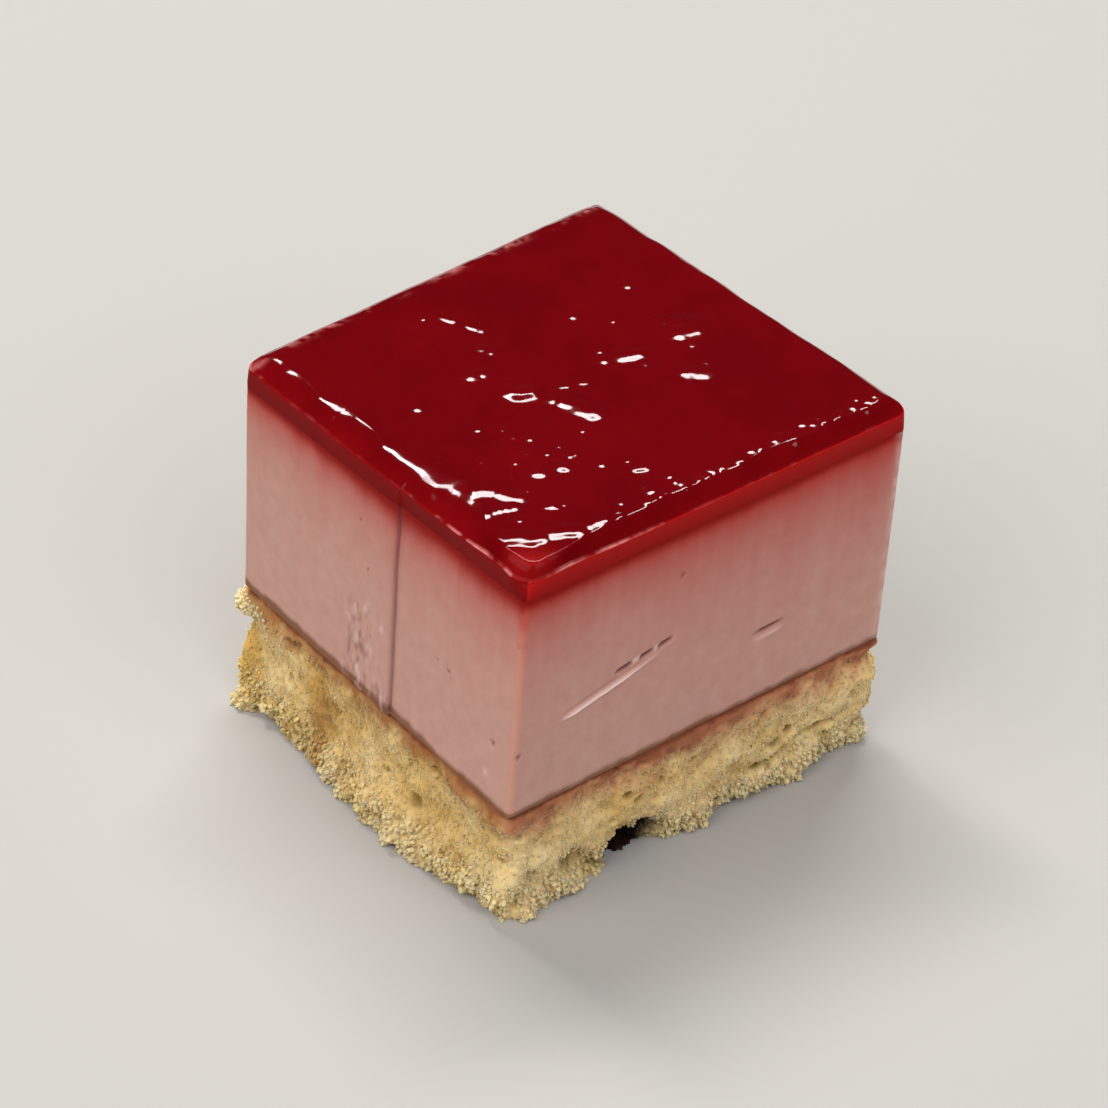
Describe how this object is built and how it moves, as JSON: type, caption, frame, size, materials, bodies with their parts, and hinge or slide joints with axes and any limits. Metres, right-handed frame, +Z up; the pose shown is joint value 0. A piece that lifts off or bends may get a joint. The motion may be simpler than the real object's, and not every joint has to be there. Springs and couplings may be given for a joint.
{
  "type": "fruit mousse cake square",
  "caption": "Square of layered cake: crumbly yellow sponge base, tall pink fruit mousse block cut with straight sides, and a thin glossy red jelly top. Rests flat.",
  "frame": {"origin": "on the surface it rests on, under the middle of the cake's box", "axes": "+Z up through the layers; -Y is the face with the upright cutting step, +X the face beside it with the scratch"},
  "size_m": [0.0364, 0.0384, 0.0326],
  "materials": {
    "sponge": "porous pale yellow sponge crumb, matt, food",
    "mousse": "pink fruit mousse, satin, soft, food",
    "jelly": "deep red fruit jelly, wet gloss, food"
  },
  "bodies": {
    "root": {"sponge": "sponge", "mousse": "mousse", "jelly": "jelly"}
  },
  "joints": []
}
